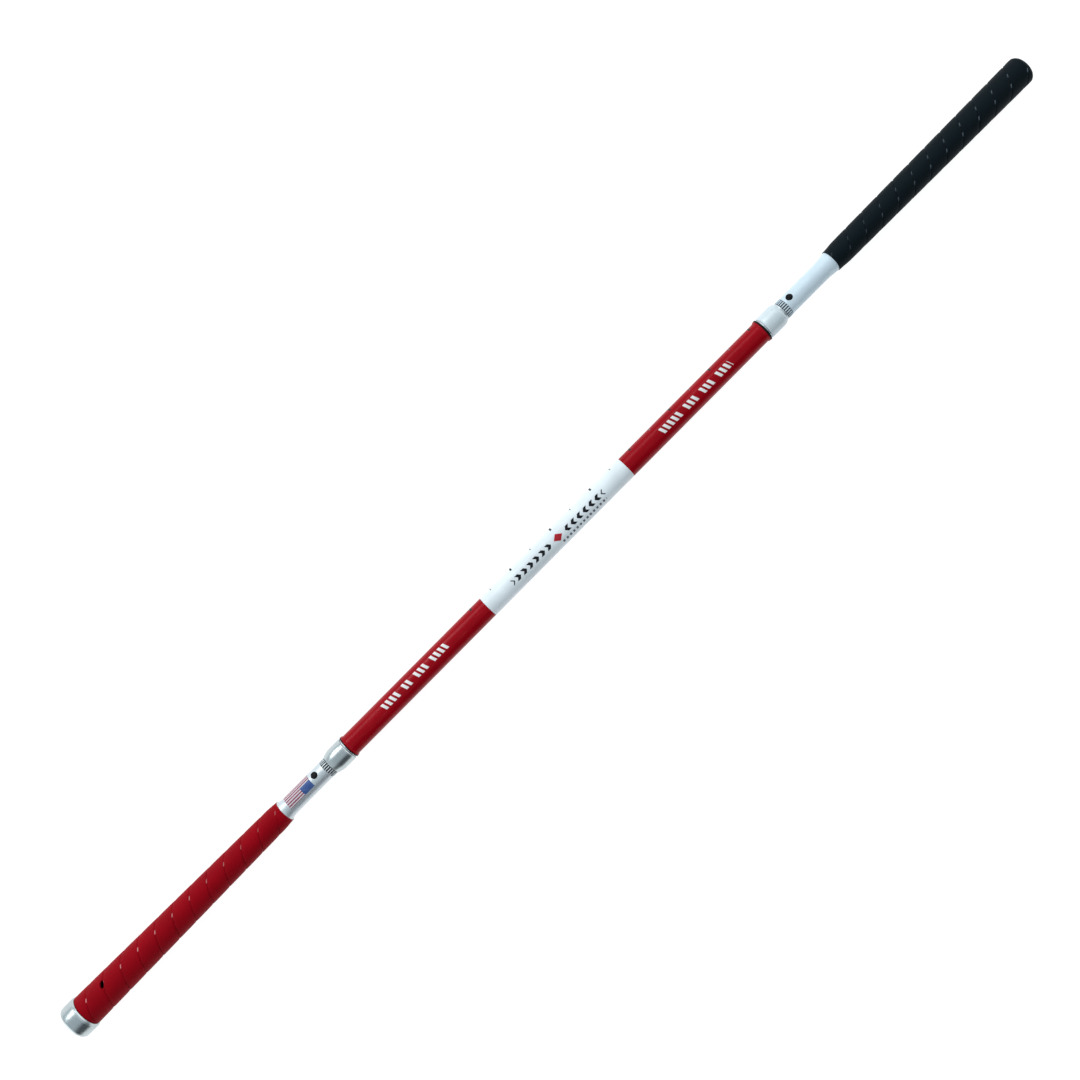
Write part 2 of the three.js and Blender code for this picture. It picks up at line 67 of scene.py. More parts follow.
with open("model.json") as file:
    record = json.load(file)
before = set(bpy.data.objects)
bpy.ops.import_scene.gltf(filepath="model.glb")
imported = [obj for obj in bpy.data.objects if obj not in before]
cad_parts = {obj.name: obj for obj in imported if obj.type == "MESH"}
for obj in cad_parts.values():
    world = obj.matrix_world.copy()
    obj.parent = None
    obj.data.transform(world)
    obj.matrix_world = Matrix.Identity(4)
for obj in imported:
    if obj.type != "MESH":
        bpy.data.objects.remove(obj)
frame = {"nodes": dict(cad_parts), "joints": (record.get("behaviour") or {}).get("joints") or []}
CAD_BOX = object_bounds()

MM = 0.001
FINE = 128
COARSE = 48
JOINTS = {joint["name"]: joint for joint in frame["joints"]}
BUTTON_WAY = -Vector(JOINTS["heavy_button_press"]["axis"])
ROLL = math.atan2(BUTTON_WAY.y, BUTTON_WAY.z)
SIDES = ("heavy", "light")

# Two seams wind round each grip, half a turn apart.
STARTS = 2

# Radii of the tubes, buttons and grips, and how far the ground under the ribs lies below the neck.
NECK_BORE_R = 8.0
BUTTON_R = 3.15
BUTTON_HOLE_R = 3.35
GRIP_END_R = 11.85
RIB_SINK = 0.6

# The middle of the printed ruler and of the arrows on the white sleeve.
PRINT_MIDDLE_X = 10.8


def reach(node):
    """The lowest x, the highest x and the largest radius of a round CAD node."""
    low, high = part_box(node)
    return low.x / MM, high.x / MM, (high.z - low.z) / 2 / MM


def middle_x(node):
    """The x halfway along a CAD node."""
    low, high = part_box(node)
    return (low.x + high.x) / 2 / MM


# ---- Settings ----


def colour(name, description, default):
    return FloatVectorProperty(
        name=name, description=description, default=default, size=3, min=0, max=1, subtype="COLOR"
    )


def length(name, description, default):
    return FloatProperty(name=name, description=description, default=default * MM, unit="LENGTH")


class SleeveSettings(PropertyGroup):
    red: colour("Red", "Colour of the two outer sleeves", (0.30, 0.0006, 0.006))
    white: colour("White", "Colour of the middle sleeve", (0.76, 0.83, 0.87))
    white_ink: colour("White ink", "Bars on the red sleeves", (0.78, 0.78, 0.78))
    black_ink: colour("Black ink", "Arrows and long ruler ticks", (0.012, 0.013, 0.016))
    grey_ink: colour("Grey ink", "Dashes beside the arrows and short ruler ticks", (0.14, 0.15, 0.17))
    red_ink: colour("Red ink", "Diamond between the arrows", (0.42, 0.02, 0.03))
    tick_spacing: length("Tick spacing", "One inch, between two ruler ticks", 25.4)


class MetalSettings(PropertyGroup):
    polished: colour("Polished", "Turned and polished aluminium", (0.56, 0.63, 0.65))
    # Partly a satin finish, partly painted light: the light collar's aluminium is a lighter, more diffuse
    # copy of the polished one, standing in for the brighter light on that end.
    satin: colour("Satin", "Satin aluminium of the light handle's collar", (0.70, 0.80, 0.85))
    bare: colour("Bare", "Drawn aluminium tube", (0.70, 0.77, 0.81))
    painted: colour("Painted", "Satin paint on the light handle's tube", (0.68, 0.82, 0.91))
    ribs: IntProperty(name="Ribs", description="Finger ribs round each handle tube", default=24)
    rib_width: length("Rib width", "Width of one finger rib", 1.4)


class GripSettings(PropertyGroup):
    red: colour("Red rubber", "Colour of the weighted handle's grip", (0.27, 0.0008, 0.006))
    black: colour("Black rubber", "Colour of the plain handle's grip", (0.0020, 0.0052, 0.0075))
    red_pitch: length("Red pitch", "Spacing of the turns of the red grip's seam", 21.58)
    black_pitch: length("Black pitch", "Spacing of the turns of the black grip's seam", 20.36)
    red_seam_x: length("Red seam", "Where the red grip's seam crosses the top line", -368.4)
    black_seam_x: length("Black seam", "Where the black grip's seam crosses the top line", 381.85)
    seam_width: length("Seam width", "Width of the pressed spiral seam", 1.8)
    seam_depth: length("Seam depth", "Depth of the pressed spiral seam", 0.6)
    crown: length("Crown", "How far the strip between two turns stands proud of its edges", 0.12)


class StageSettings(PropertyGroup):
    floor: colour("Floor", "Colour of the floor", (0.28, 0.28, 0.28))
    floor_glow: FloatProperty(name="Floor glow", description="Light given off by the floor", default=0.90)
    key_power: FloatProperty(name="Key light", description="Power of the long soft light", default=14)
    spark_power: FloatProperty(name="Spark", description="Power of the small light", default=3.5)
    camera_height: length("Camera height", "Height of the camera above the stick", 1300)
    camera_turn: FloatProperty(
        name="Camera turn",
        description="Turn of the camera about the vertical",
        default=math.radians(-45.19),
        subtype="ANGLE",
    )


# ---- Node trees ----


class Value:
    """A socket that can be used in sums."""

    def __init__(self, nodes, socket):
        self.nodes = nodes
        self.socket = socket

    def math(self, operation, *others):
        node = self.nodes.add("ShaderNodeMath", {"operation": operation})
        for socket, value in zip(node.inputs, (self, *others)):
            self.nodes.put(socket, value)
        return Value(self.nodes, node.outputs[0])

    def reversed_math(self, operation, other):
        node = self.nodes.add("ShaderNodeMath", {"operation": operation})
        self.nodes.put(node.inputs[0], other)
        self.nodes.put(node.inputs[1], self)
        return Value(self.nodes, node.outputs[0])

    def __add__(self, other):
        return self.math("ADD", other)

    def __radd__(self, other):
        return self.math("ADD", other)

    def __sub__(self, other):
        return self.math("SUBTRACT", other)

    def __rsub__(self, other):
        return self.reversed_math("SUBTRACT", other)

    def __mul__(self, other):
        return self.math("MULTIPLY", other)

    def __rmul__(self, other):
        return self.math("MULTIPLY", other)

    def __truediv__(self, other):
        return self.math("DIVIDE", other)

    def __pow__(self, other):
        return self.math("POWER", other)

    def __mod__(self, other):
        return self.math("FLOORED_MODULO", other)

    def __gt__(self, other):
        return self.math("GREATER_THAN", other)

    def __lt__(self, other):
        return self.math("LESS_THAN", other)

    def __abs__(self):
        return self.math("ABSOLUTE")

    def floor(self):
        return self.math("FLOOR")

    def between(self, low, high):
        """1 from low to high and 0 elsewhere."""
        return (self > low) * (self < high)

    def ramp(self, low, high):
        """Rises smoothly from 0 at low to 1 at high."""
        node = self.nodes.add(
            "ShaderNodeMapRange",
            {"interpolation_type": "SMOOTHSTEP"},
            {"Value": self, "From Min": low, "From Max": high},
        )
        return Value(self.nodes, node.outputs["Result"])


class Nodes:
    """Adds nodes to one shader or geometry tree."""

    def __init__(self, tree):
        self.tree = tree

    def put(self, socket, value):
        if isinstance(value, Value):
            self.tree.links.new(value.socket, socket)
        elif isinstance(value, bpy.types.NodeSocket):
            self.tree.links.new(value, socket)
        else:
            socket.default_value = value

    def add(self, kind, settings=None, sockets=None):
        """A node of a kind, with its settings made first and then its sockets filled or linked."""
        node = self.tree.nodes.new(kind)
        for name, value in (settings or {}).items():
            setattr(node, name, value)
        for name, value in (sockets or {}).items():
            self.put(node.inputs[name], value)
        return node

    def value(self, kind, output, settings=None, sockets=None):
        return Value(self, self.add(kind, settings, sockets).outputs[output])

    def vector(self, x, y, z):
        return self.value("ShaderNodeCombineXYZ", "Vector", sockets={"X": x, "Y": y, "Z": z})

    def noise(self, vector, scale, detail=2.0, roughness=0.5):
        sockets = {"Vector": vector, "Scale": scale, "Detail": detail, "Roughness": roughness}
        return self.value("ShaderNodeTexNoise", "Fac", {"noise_dimensions": "3D"}, sockets)

    def cells(self, vector, scale):
        """Distance to the nearest cell centre."""
        return self.value("ShaderNodeTexVoronoi", "Distance", sockets={"Vector": vector, "Scale": scale})

    def blend(self, share, first, second):
        """A colour between two colours, `share` of the way from the first to the second."""
        node = self.add("ShaderNodeMix", {"data_type": "RGBA"})
        colours = [socket for socket in node.inputs if socket.type == "RGBA"]
        self.put(node.inputs["Factor"], share)
        self.put(colours[0], first)
        self.put(colours[1], second)
        return next(socket for socket in node.outputs if socket.type == "RGBA")

    def bump(self, height, distance, strength=1.0):
        sockets = {"Height": height, "Distance": distance * MM, "Strength": strength}
        return self.add("ShaderNodeBump", sockets=sockets).outputs["Normal"]


def rgba(values):
    return (*values, 1.0)


def darker(values, share):
    return rgba([value * share for value in values])


class Finish(Nodes):
    """A material whose pattern is drawn in millimetres along and round the stick."""

    def __init__(self, name):
        self.material = bpy.data.materials.new(name)
        self.material.use_nodes = True
        super().__init__(self.material.node_tree)
        self.tree.nodes.clear()
        place = self.add("ShaderNodeTexCoord").outputs["Object"]
        parts = self.add("ShaderNodeSeparateXYZ", sockets={"Vector": place})
        self.x, self.y, self.z = (Value(self, socket) / MM for socket in parts.outputs)
        side = self.y * math.cos(ROLL) - self.z * math.sin(ROLL)
        up = self.y * math.sin(ROLL) + self.z * math.cos(ROLL)
        self.angle = side.math("ARCTAN2", up)
        self.radius = (self.y * self.y + self.z * self.z).math("SQRT")
        self.place = self.vector(self.x, self.y, self.z)

    def shade(self, base, roughness, normal=None, **constants):
        sockets = {"Base Color": base, "Roughness": roughness}
        for name, value in constants.items():
            sockets[name.replace("_", " ").title().replace("Ior", "IOR")] = value
        if normal is not None:
            sockets["Normal"] = normal
        shader = self.add("ShaderNodeBsdfPrincipled", sockets=sockets)
        output = self.add("ShaderNodeOutputMaterial")
        self.tree.links.new(shader.outputs["BSDF"], output.inputs["Surface"])
        return self.material


# ---- Meshes ----


def softened(corners, steps=5):
    """An outline in which each (x, radius, cut) corner is rounded off, `cut` away on both sides."""
    points = []
    for i, (x, r, *rest) in enumerate(corners):
        corner = Vector((x, r))
        cut = rest[0] if rest else 0
        if cut == 0:
            points.append(corner)
            continue
        before = Vector(corners[i - 1][:2])
        after = Vector(corners[(i + 1) % len(corners)][:2])
        start = corner + (before - corner).normalized() * cut
        end = corner + (after - corner).normalized() * cut
        for k in range(steps + 1):
            t = k / steps
            points.append(start * (1 - t) ** 2 + corner * (2 * t * (1 - t)) + end * t ** 2)
    return [tuple(point) for point in points]


def s_curve(x0, r0, x1, r1, steps=8):
    """Points of a smooth rise from one radius to another."""
    points = []
    for k in range(steps + 1):
        t = k / steps
        points.append((x0 + (x1 - x0) * t, r0 + (r1 - r0) * t * t * (3 - 2 * t)))
    return points


def turned(outline, segments=FINE):
    """Vertices and faces turned about X from (x, radius) points, closed on itself or on the axis."""
    vertices, rings, faces = [], [], []
    for x, r in outline:
        if r < 1e-6:
            rings.append([len(vertices)] * segments)
            vertices.append((x, 0, 0))
            continue
        rings.append(list(range(len(vertices), len(vertices) + segments)))
        for k in range(segments):
            angle = 2 * math.pi * k / segments
            vertices.append((x, r * math.sin(angle), r * math.cos(angle)))
    on_axis = outline[0][1] < 1e-6
    pairs = list(zip(rings, rings[1:])) if on_axis else list(zip(rings, rings[1:] + rings[:1]))
    for first, second in pairs:
        for k in range(segments):
            j = (k + 1) % segments
            corners = [first[k], first[j], second[j], second[k]]
            face = list(dict.fromkeys(corners))
            if len(face) > 2:
                faces.append(face)
    return vertices, faces


def piece(name, shape, material, sharp=32):
    """An object from vertices in millimetres and faces, with its faces pointing outwards."""
    vertices, faces = shape
    mesh = bpy.data.meshes.new(name)
    mesh.from_pydata([Vector(v) * MM for v in vertices], [], faces)
    obj = bpy.data.objects.new(name, mesh)
    bpy.context.scene.collection.objects.link(obj)
    mesh.materials.append(material)
    settle(mesh, sharp)
    return obj


def settle(mesh, sharp=32):
    """Merges doubled corners, turns faces outwards and smooths all but the sharp edges."""
    work = bmesh.new()
    work.from_mesh(mesh)
    bmesh.ops.remove_doubles(work, verts=work.verts, dist=1e-7)
    bmesh.ops.recalc_face_normals(work, faces=work.faces)
    work.to_mesh(mesh)
    work.free()
    mesh.shade_smooth()
    mesh.set_sharp_from_angle(angle=math.radians(sharp))


def rolled(shape):
    """A shape drawn with the buttons facing +Z, rolled to where they face on the stick."""
    vertices, faces = shape
    turn = Matrix.Rotation(-ROLL, 3, "X")
    return [turn @ Vector(v) for v in vertices], faces


def upright(x, outline, segments=COARSE):
    """A shape turned about the line that runs from the axis through a button at x."""
    vertices, faces = turned([(z, r) for r, z in outline], segments)
    return rolled(([(x + v[1], v[2], v[0]) for v in vertices], faces))


def slanted_oval(x, outline, half_width, half_length, slant):
    """Like `upright`, with radii as shares of an oval whose long way leans towards +X by a slant."""
    vertices, faces = turned([(z, r) for r, z in outline], COARSE)
    placed = []
    for z, v, u in vertices:
        along, across = u * half_length, v * half_width
        placed.append((
            x + across * math.cos(slant) + along * math.sin(slant),
            along * math.cos(slant) - across * math.sin(slant),
            z,
        ))
    return rolled((placed, faces))


def cut_away(obj, shape, sharp=32):
    """Cuts a shape out of an object."""
    material = next(material for material in obj.data.materials if material)
    cutter = piece("cutter", shape, material)
    modifier = obj.modifiers.new("cut", "BOOLEAN")
    modifier.operation = "DIFFERENCE"
    modifier.solver = "EXACT"
    modifier.object = cutter
    mesh = baked(obj)
    obj.modifiers.clear()
    old = obj.data
    obj.data = mesh
    mesh.name = obj.name
    bpy.data.meshes.remove(old)
    bpy.data.objects.remove(cutter)
    settle(obj.data, sharp)


def baked(obj):
    """The object's mesh with its modifiers applied."""
    bpy.context.view_layer.update()
    evaluated = obj.evaluated_get(bpy.context.evaluated_depsgraph_get())
    return bpy.data.meshes.new_from_object(evaluated)


def stands_for(obj, body, slot, *nodes):
    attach(obj, body)
    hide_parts(*nodes)


# ---- Finishes ----


def print_marks(finish, sleeves):
    """Marks on the sleeves, as a list of (share, colour) for each ink."""
    x = finish.x
    around = finish.angle * reach("label_sleeve")[2]

    def slanted_bars(start, end, centre, height, gaps):
        pitch, width, slant = 5.1, 2.9, 0.35
        local = x - start + (around - centre) * slant
        number = (local / pitch).floor()
        mask = local.between(0, end - start) * (local % pitch < width)
        for gap in gaps:
            mask = mask * (abs(number - gap) > 0.5)
        return mask * (abs(around - centre) < height / 2)

    left = slanted_bars(-208, -127, -2.5, 6.8, (4, 7, 11))
    right = slanted_bars(143.7, 231, -5.0, 6.8, (5, 9, 13))
    from_centre = abs(x - PRINT_MIDDLE_X)
    off_line = abs(around + 5.8)
    along_arrow = from_centre - off_line * 0.9
    arrows = along_arrow.between(9, 56) * ((along_arrow - 9) % 7.6 < 3.6) * (off_line < 2.8)
    diamond = (from_centre + off_line * 1.25) < 5.2
    dashes = x.between(12, 67) * ((x - 12) % 4.2 < 2.1) * (abs(around + 12.6) < 1.25)
    spacing = sleeves.tick_spacing / MM
    step = (x - PRINT_MIDDLE_X) / spacing + 0.5
    to_tick = abs(step % 1 - 0.5) * spacing
    even = (step.floor() % 2) < 0.5
    in_rule = x.between(-104, 278)
    long_ticks = in_rule * even * (to_tick < 0.95) * finish.angle.between(0.39, 1.85)
    short_ticks = in_rule * (1 - even) * (to_tick < 0.45) * finish.angle.between(0.47, 1.3)
    return [
        ((left + right).math("MINIMUM", 1), rgba(sleeves.white_ink)),
        ((arrows + long_ticks).math("MINIMUM", 1), rgba(sleeves.black_ink)),
        (diamond, rgba(sleeves.red_ink)),
        ((dashes + short_ticks).math("MINIMUM", 1), rgba(sleeves.grey_ink)),
    ]


def sleeve_finish(name, base, sleeves, tinge):
    """Glossy printed film shrunk onto the tube, a little uneven, with fine rubbed lines."""
    finish = Finish(name)
    cloud = finish.noise(finish.place, 0.045, 3)
    rubbed = finish.noise(finish.vector(finish.x * 0.03, finish.angle * 40, 0), 1.0, 3)
    speckle = finish.noise(finish.place, 2.6, 1)
    tint = finish.blend(cloud, darker(base, 0.86), darker(base, 1.12))
    tint = finish.blend(rubbed.ramp(0.62, 0.8) * 0.12, tint, rgba((0.7, 0.7, 0.7)))
    for share, ink in print_marks(finish, sleeves):
        tint = finish.blend(share, tint, ink)
    roughness = 0.2 + cloud * 0.1 + rubbed.ramp(0.5, 0.8) * 0.12
    normal = finish.bump(cloud * 3 + speckle * 0.08, 0.05)
    return finish.shade(
        tint, roughness, normal, specular_ior_level=0.16, specular_tint=rgba(tinge)
    )


def turned_metal_finish(name, base, groove=0.35, rough=0.2, metallic=1.0):
    """Metal with the fine rings that a lathe tool leaves, round the stick and on its end faces."""
    finish = Finish(name)
    across = finish.vector(finish.x / groove, finish.radius / groove, 0)
    rings = finish.noise(across, 1.0, 3, 0.6)
    stain = finish.noise(finish.place, 0.09, 3)
    scratch = finish.noise(finish.vector(finish.x * 0.25, finish.y * 2, finish.z * 2), 1.0, 2)
    tint = finish.blend(rings, darker(base, 0.86), rgba(base))
    tint = finish.blend(stain.ramp(0.45, 0.75) * 0.3, tint, darker(base, 0.72))
    roughness = rough + rings * 0.12 + scratch.ramp(0.6, 0.75) * 0.12
    normal = finish.bump(rings, 0.02, 0.7)
    return finish.shade(tint, roughness, normal, metallic=metallic)


def drawn_metal_finish(name, base, rough, metallic, painted_shade_r=0.0):
    """Tube with faint lines along its length from drawing and brushing, and painted shade below a radius,
    in the grooves between the finger ribs.
    """
    finish = Finish(name)
    lines = finish.noise(finish.vector(finish.x * 0.05, finish.y * 7, finish.z * 7), 1.0, 3, 0.6)
    stain = finish.noise(finish.place, 0.07, 3)
    tint = finish.blend(lines, darker(base, 0.84), rgba(base))
    tint = finish.blend(stain.ramp(0.5, 0.8) * 0.25, tint, darker(base, 0.75))
    if painted_shade_r:
        # Painted shade: below this radius the colour goes almost black, standing in for the shade in the
        # grooves between the finger ribs.
        tint = finish.blend(finish.radius.ramp(painted_shade_r, painted_shade_r - 0.25), tint, darker(base, 0.06))
    roughness = rough + lines * 0.14
    normal = finish.bump(lines, 0.015, 0.8)
    return finish.shade(tint, roughness, normal, metallic=metallic)


def rubber_finish(name, base, pitch, seam_x, tinge, glint, rows, shaded_hole=None):
    """Moulded rubber with a fine hide-like grain and a spiral seam.

    Short slanting glints are painted onto the seam in a lighter colour, as painted highlights, in
    lengthwise rows given as (angle from the buttons in degrees, share). The last argument is the (x,
    radius) of a hole whose inside is painted dark as shade.
    """
    finish = Finish(name)
    turns = (finish.angle + ROLL) / (2 * math.pi)
    spacing = pitch / MM
    wound = (finish.x - seam_x / MM) / spacing - turns * STARTS
    from_seam = ((wound + 0.5) % 1 - 0.5) * spacing
    grain = finish.cells(finish.place, 1.35)
    fine = finish.noise(finish.place, 4.5, 2)
    cloud = finish.noise(finish.place, 0.06, 3)
    worn = cloud.ramp(0.45, 0.75) * grain.ramp(0.5, 0.1)
    tint = finish.blend(cloud, darker(base, 0.85), darker(base, 1.12))
    tint = finish.blend(worn * 0.3, tint, darker(base, 1.6))
    # Painted shade in the pressed seam groove: the colour is darker near the seam.
    tint = finish.blend(abs(from_seam).ramp(0.8, 0.2) * 0.3, tint, darker(base, 0.6))
    # Painted highlights: short glints in a lighter colour on the seam, in rows where the lamp's
    # reflection falls, stronger towards the grip's outer end.
    for degrees, share in rows:
        off_row = (finish.angle - math.radians(degrees)) * finish.radius
        fade = abs(finish.x).ramp(340, 540) * 0.7 + 0.3
        dash = abs(from_seam - off_row * 0.12).ramp(0.75, 0.25) * abs(off_row).ramp(1.9, 1.0) * fade
        tint = finish.blend(dash * share, tint, rgba(glint))
    # Painted shade: inside the hole in the grip the colour goes almost black.
    if shaded_hole:
        hole = abs(finish.x - shaded_hole[0]).ramp(7, 6) * finish.radius.ramp(shaded_hole[1], shaded_hole[1] - 1)
        tint = finish.blend(hole, tint, rgba((0.004, 0.0005, 0.0005)))
    roughness = 0.55 + cloud * 0.12 + fine * 0.1
    normal = finish.bump((1 - grain) * 0.8 + fine * 0.35, 0.09, 0.6)
    return finish.shade(
        tint, roughness, normal, specular_ior_level=0.14, specular_tint=rgba(tinge)
    )


def moulded_finish(name, base, rough):
    """Moulded plastic or nylon: a soft sheen with an even fine texture."""
    finish = Finish(name)
    fine = finish.noise(finish.place, 3.2, 3)
    cloud = finish.noise(finish.place, 0.25, 2)
    tint = finish.blend(cloud, darker(base, 0.85), darker(base, 1.12))
    roughness = rough + fine * 0.15
    normal = finish.bump(fine, 0.02, 0.7)
    return finish.shade(tint, roughness, normal, specular_ior_level=0.12)


def sticker_finish(name):
    """Printed film with a plain panel at its joint end and lengthwise stripes over the rest."""
    finish = Finish(name)
    high = reach("striped_sticker")[1]
    stripe = (finish.angle * 9.15 / 1.22 + 0.5) % 2 < 1
    panel = (finish.x > high - 11.85) * (finish.angle < math.radians(4.5))
    red = rgba((0.27, 0.035, 0.075))
    pale = rgba((0.60, 0.58, 0.62))
    blue = rgba((0.035, 0.085, 0.27))
    specks = finish.noise(finish.place, 1.7, 2)
    tint = finish.blend(stripe, pale, red)
    tint = finish.blend(panel, tint, blue)
    tint = finish.blend(specks.ramp(0.55, 0.75) * 0.35, tint, rgba((0.5, 0.52, 0.6)))
    roughness = 0.3 + specks * 0.15
    normal = finish.bump(specks, 0.02, 0.5)
    return finish.shade(tint, roughness, normal, specular_ior_level=0.3)


FINISHES = {}


def make_finishes(scene):
    sleeves, metals, grips = scene.stick_sleeves, scene.stick_metals, scene.stick_grips
    FINISHES.update(
        red_sleeve=sleeve_finish("red_sleeve_film", sleeves.red, sleeves, (1, 0.6, 0.65)),
        white_sleeve=sleeve_finish("white_sleeve_film", sleeves.white, sleeves, (0.9, 0.95, 1)),
        polished_aluminium=turned_metal_finish("polished_aluminium", metals.polished, 0.35, 0.23),
        # Painted light: the light collar's lighter satin copy of the aluminium stands in for the brighter
        # light on that end.
        satin_aluminium=turned_metal_finish("satin_aluminium", metals.satin, 0.35, 0.4, 0.2),
        # The last number of each tube finish is the radius below which shade is painted into the rib
        # grooves.
        bare_aluminium=drawn_metal_finish("bare_aluminium", metals.bare, 0.40, 0.8, 8.9),
        painted_tube=drawn_metal_finish("painted_tube", metals.painted, 0.45, 0.1, 9.05),
        steel=turned_metal_finish("ground_steel", (0.45, 0.46, 0.47), 0.5, 0.3),
        spring_steel=drawn_metal_finish("spring_steel", (0.33, 0.34, 0.36), 0.3, 1.0),
        brass=turned_metal_finish("brass", (0.62, 0.44, 0.16), 0.4, 0.25),
        black_anodised=turned_metal_finish("black_anodised", (0.02, 0.021, 0.024), 0.4, 0.35),
        # The rubber finishes get the colours and rows of their painted glints, and the red one the hole
        # that is painted dark as shade.
        red_rubber=rubber_finish(
            "red_rubber", grips.red, grips.red_pitch, grips.red_seam_x,
            (1, 0.3, 0.35), (0.85, 0.42, 0.42), [(-1, 0.75)], (middle_x("grub_screw"), 14.2),
        ),
        black_rubber=rubber_finish(
            "black_rubber", grips.black, grips.black_pitch, grips.black_seam_x,
            (0.6, 0.85, 1), (0.13, 0.17, 0.20), [(-45, 0.9), (-6, 0.6)],
        ),
        black_plastic=moulded_finish("black_plastic", (0.0025, 0.004, 0.005), 0.4),
        white_nylon=moulded_finish("white_nylon", (0.68, 0.66, 0.60), 0.4),
        printed_film=sticker_finish("striped_film"),
    )


# ---- Geometry Nodes ----


def new_tree(name, inputs):
    """A geometry tree with a Geometry input, the named inputs and a Geometry output."""
    tree = bpy.data.node_groups.new(name, "GeometryNodeTree")
    tree.interface.new_socket("Geometry", in_out="INPUT", socket_type="NodeSocketGeometry")
    for label, kind in inputs:
        tree.interface.new_socket(label, in_out="INPUT", socket_type=kind)
    tree.interface.new_socket("Geometry", in_out="OUTPUT", socket_type="NodeSocketGeometry")
    nodes = Nodes(tree)
    entry = nodes.add("NodeGroupInput").outputs
    values = {label: Value(nodes, entry[label]) for label, _ in inputs}
    return nodes, entry["Geometry"], values


def finish_tree(nodes, geometry, material):
    """Ends a tree in Realize Instances and Set Material."""
    realized = nodes.add("GeometryNodeRealizeInstances", sockets={"Geometry": geometry})
    sockets = {"Geometry": realized.outputs[0], "Material": material}
    coloured = nodes.add("GeometryNodeSetMaterial", sockets=sockets)
    nodes.add("NodeGroupOutput", sockets={"Geometry": coloured.outputs[0]})


def run_tree(obj, nodes, values):
    """Runs a tree on an object with the given inputs, and keeps its plain result as the mesh."""
    modifier = obj.modifiers.new("build", "NODES")
    modifier.node_group = nodes.tree
    for item in nodes.tree.interface.items_tree:
        if item.in_out == "INPUT" and item.name in values:
            modifier[item.identifier] = values[item.name]
    mesh = baked(obj)
    obj.modifiers.clear()
    old = obj.data
    obj.data = mesh
    mesh.name = obj.name
    bpy.data.meshes.remove(old)


def wrapped_grip_tree():
    """Turns an outline about X and presses a spiral seam into its outer surface."""
    nodes, outline, given = new_tree(
        "wrapped_grip",
        [
            ("Points", "NodeSocketInt"),
            ("Segments", "NodeSocketInt"),
            ("Bore radius", "NodeSocketFloat"),
            ("Pitch", "NodeSocketFloat"),
            ("Seam start", "NodeSocketFloat"),
            ("Seam end", "NodeSocketFloat"),
            ("Seam at x", "NodeSocketFloat"),
            ("Seam width", "NodeSocketFloat"),
            ("Seam depth", "NodeSocketFloat"),
            ("Crown", "NodeSocketFloat"),
            ("Material", "NodeSocketMaterial"),
        ],
    )
    across = given["Segments"] + 1
    sockets = {"Vertices X": given["Points"] + 1, "Vertices Y": across}
    grid = nodes.add("GeometryNodeMeshGrid", sockets=sockets)
    index = nodes.value("GeometryNodeInputIndex", "Index")
    row = ((index + 0.5) / across).floor()
    column = index - row * across
    sampled = nodes.add(
        "GeometryNodeSampleIndex",
        {"data_type": "FLOAT_VECTOR", "domain": "POINT"},
        {
            "Geometry": outline,
            "Value": nodes.add("GeometryNodeInputPosition").outputs[0],
            "Index": row % given["Points"],
        },
    )
    parts = nodes.add("ShaderNodeSeparateXYZ", sockets={"Vector": sampled.outputs["Value"]})
    x, r = Value(nodes, parts.outputs["X"]), Value(nodes, parts.outputs["Y"])
    turn = column / given["Segments"]
    from_seam = ((x - given["Seam at x"]) / given["Pitch"] - turn * STARTS + 0.5) % 1 - 0.5
    off_seam = abs(from_seam * given["Pitch"])
    groove = 1 - off_seam.ramp(0, given["Seam width"] / 2)
    outside = (r > given["Bore radius"] + 0.0006)
    inside_ends = x.ramp(given["Seam start"], given["Seam start"] + 0.002)
    inside_ends = inside_ends * x.ramp(given["Seam end"], given["Seam end"] - 0.002)
    crown_drop = given["Crown"] * (1 - off_seam.ramp(0, given["Pitch"] * 0.22))
    drop = given["Seam depth"] * groove + crown_drop
    pressed = r - drop * outside * inside_ends
    angle = turn * (2 * math.pi)
    place = nodes.vector(x, pressed * angle.math("SINE"), pressed * angle.math("COSINE"))
    sockets = {"Geometry": grid.outputs["Mesh"], "Position": place}
    moved = nodes.add("GeometryNodeSetPosition", sockets=sockets)
    sockets = {"Geometry": moved.outputs[0], "Distance": 1e-6}
    welded = nodes.add("GeometryNodeMergeByDistance", sockets=sockets)
    finish_tree(nodes, welded.outputs[0], given["Material"])
    return nodes


def rib_ring_tree():
    """Sets copies of one rib evenly round the X axis and joins them to the tube."""
    nodes, tube, given = new_tree(
        "rib_ring",
        [
            ("Rib", "NodeSocketObject"),
            ("Count", "NodeSocketInt"),
            ("Material", "NodeSocketMaterial"),
        ],
    )
    rib = nodes.add("GeometryNodeObjectInfo", sockets={"Object": given["Rib"]})
    points = nodes.add("GeometryNodePoints", sockets={"Count": given["Count"]})
    index = nodes.value("GeometryNodeInputIndex", "Index")
    turn = nodes.vector(index / given["Count"] * (2 * math.pi), 0, 0)
    sockets = {
        "Points": points.outputs[0],
        "Instance": rib.outputs["Geometry"],
        "Rotation": turn,
    }
    ring = nodes.add("GeometryNodeInstanceOnPoints", sockets=sockets)
    joined = nodes.add("GeometryNodeJoinGeometry")
    nodes.tree.links.new(ring.outputs[0], joined.inputs[0])
    nodes.tree.links.new(tube, joined.inputs[0])
    finish_tree(nodes, joined.outputs[0], given["Material"])
    return nodes


# ---- Pieces ----


class STICK_OT_finishes(Operator):
    """Make the materials of all the pieces"""

    bl_idname = "swing_stick.finishes"
    bl_label = "Finishes"

    def execute(self, context):
        make_finishes(context.scene)
        return {"FINISHED"}


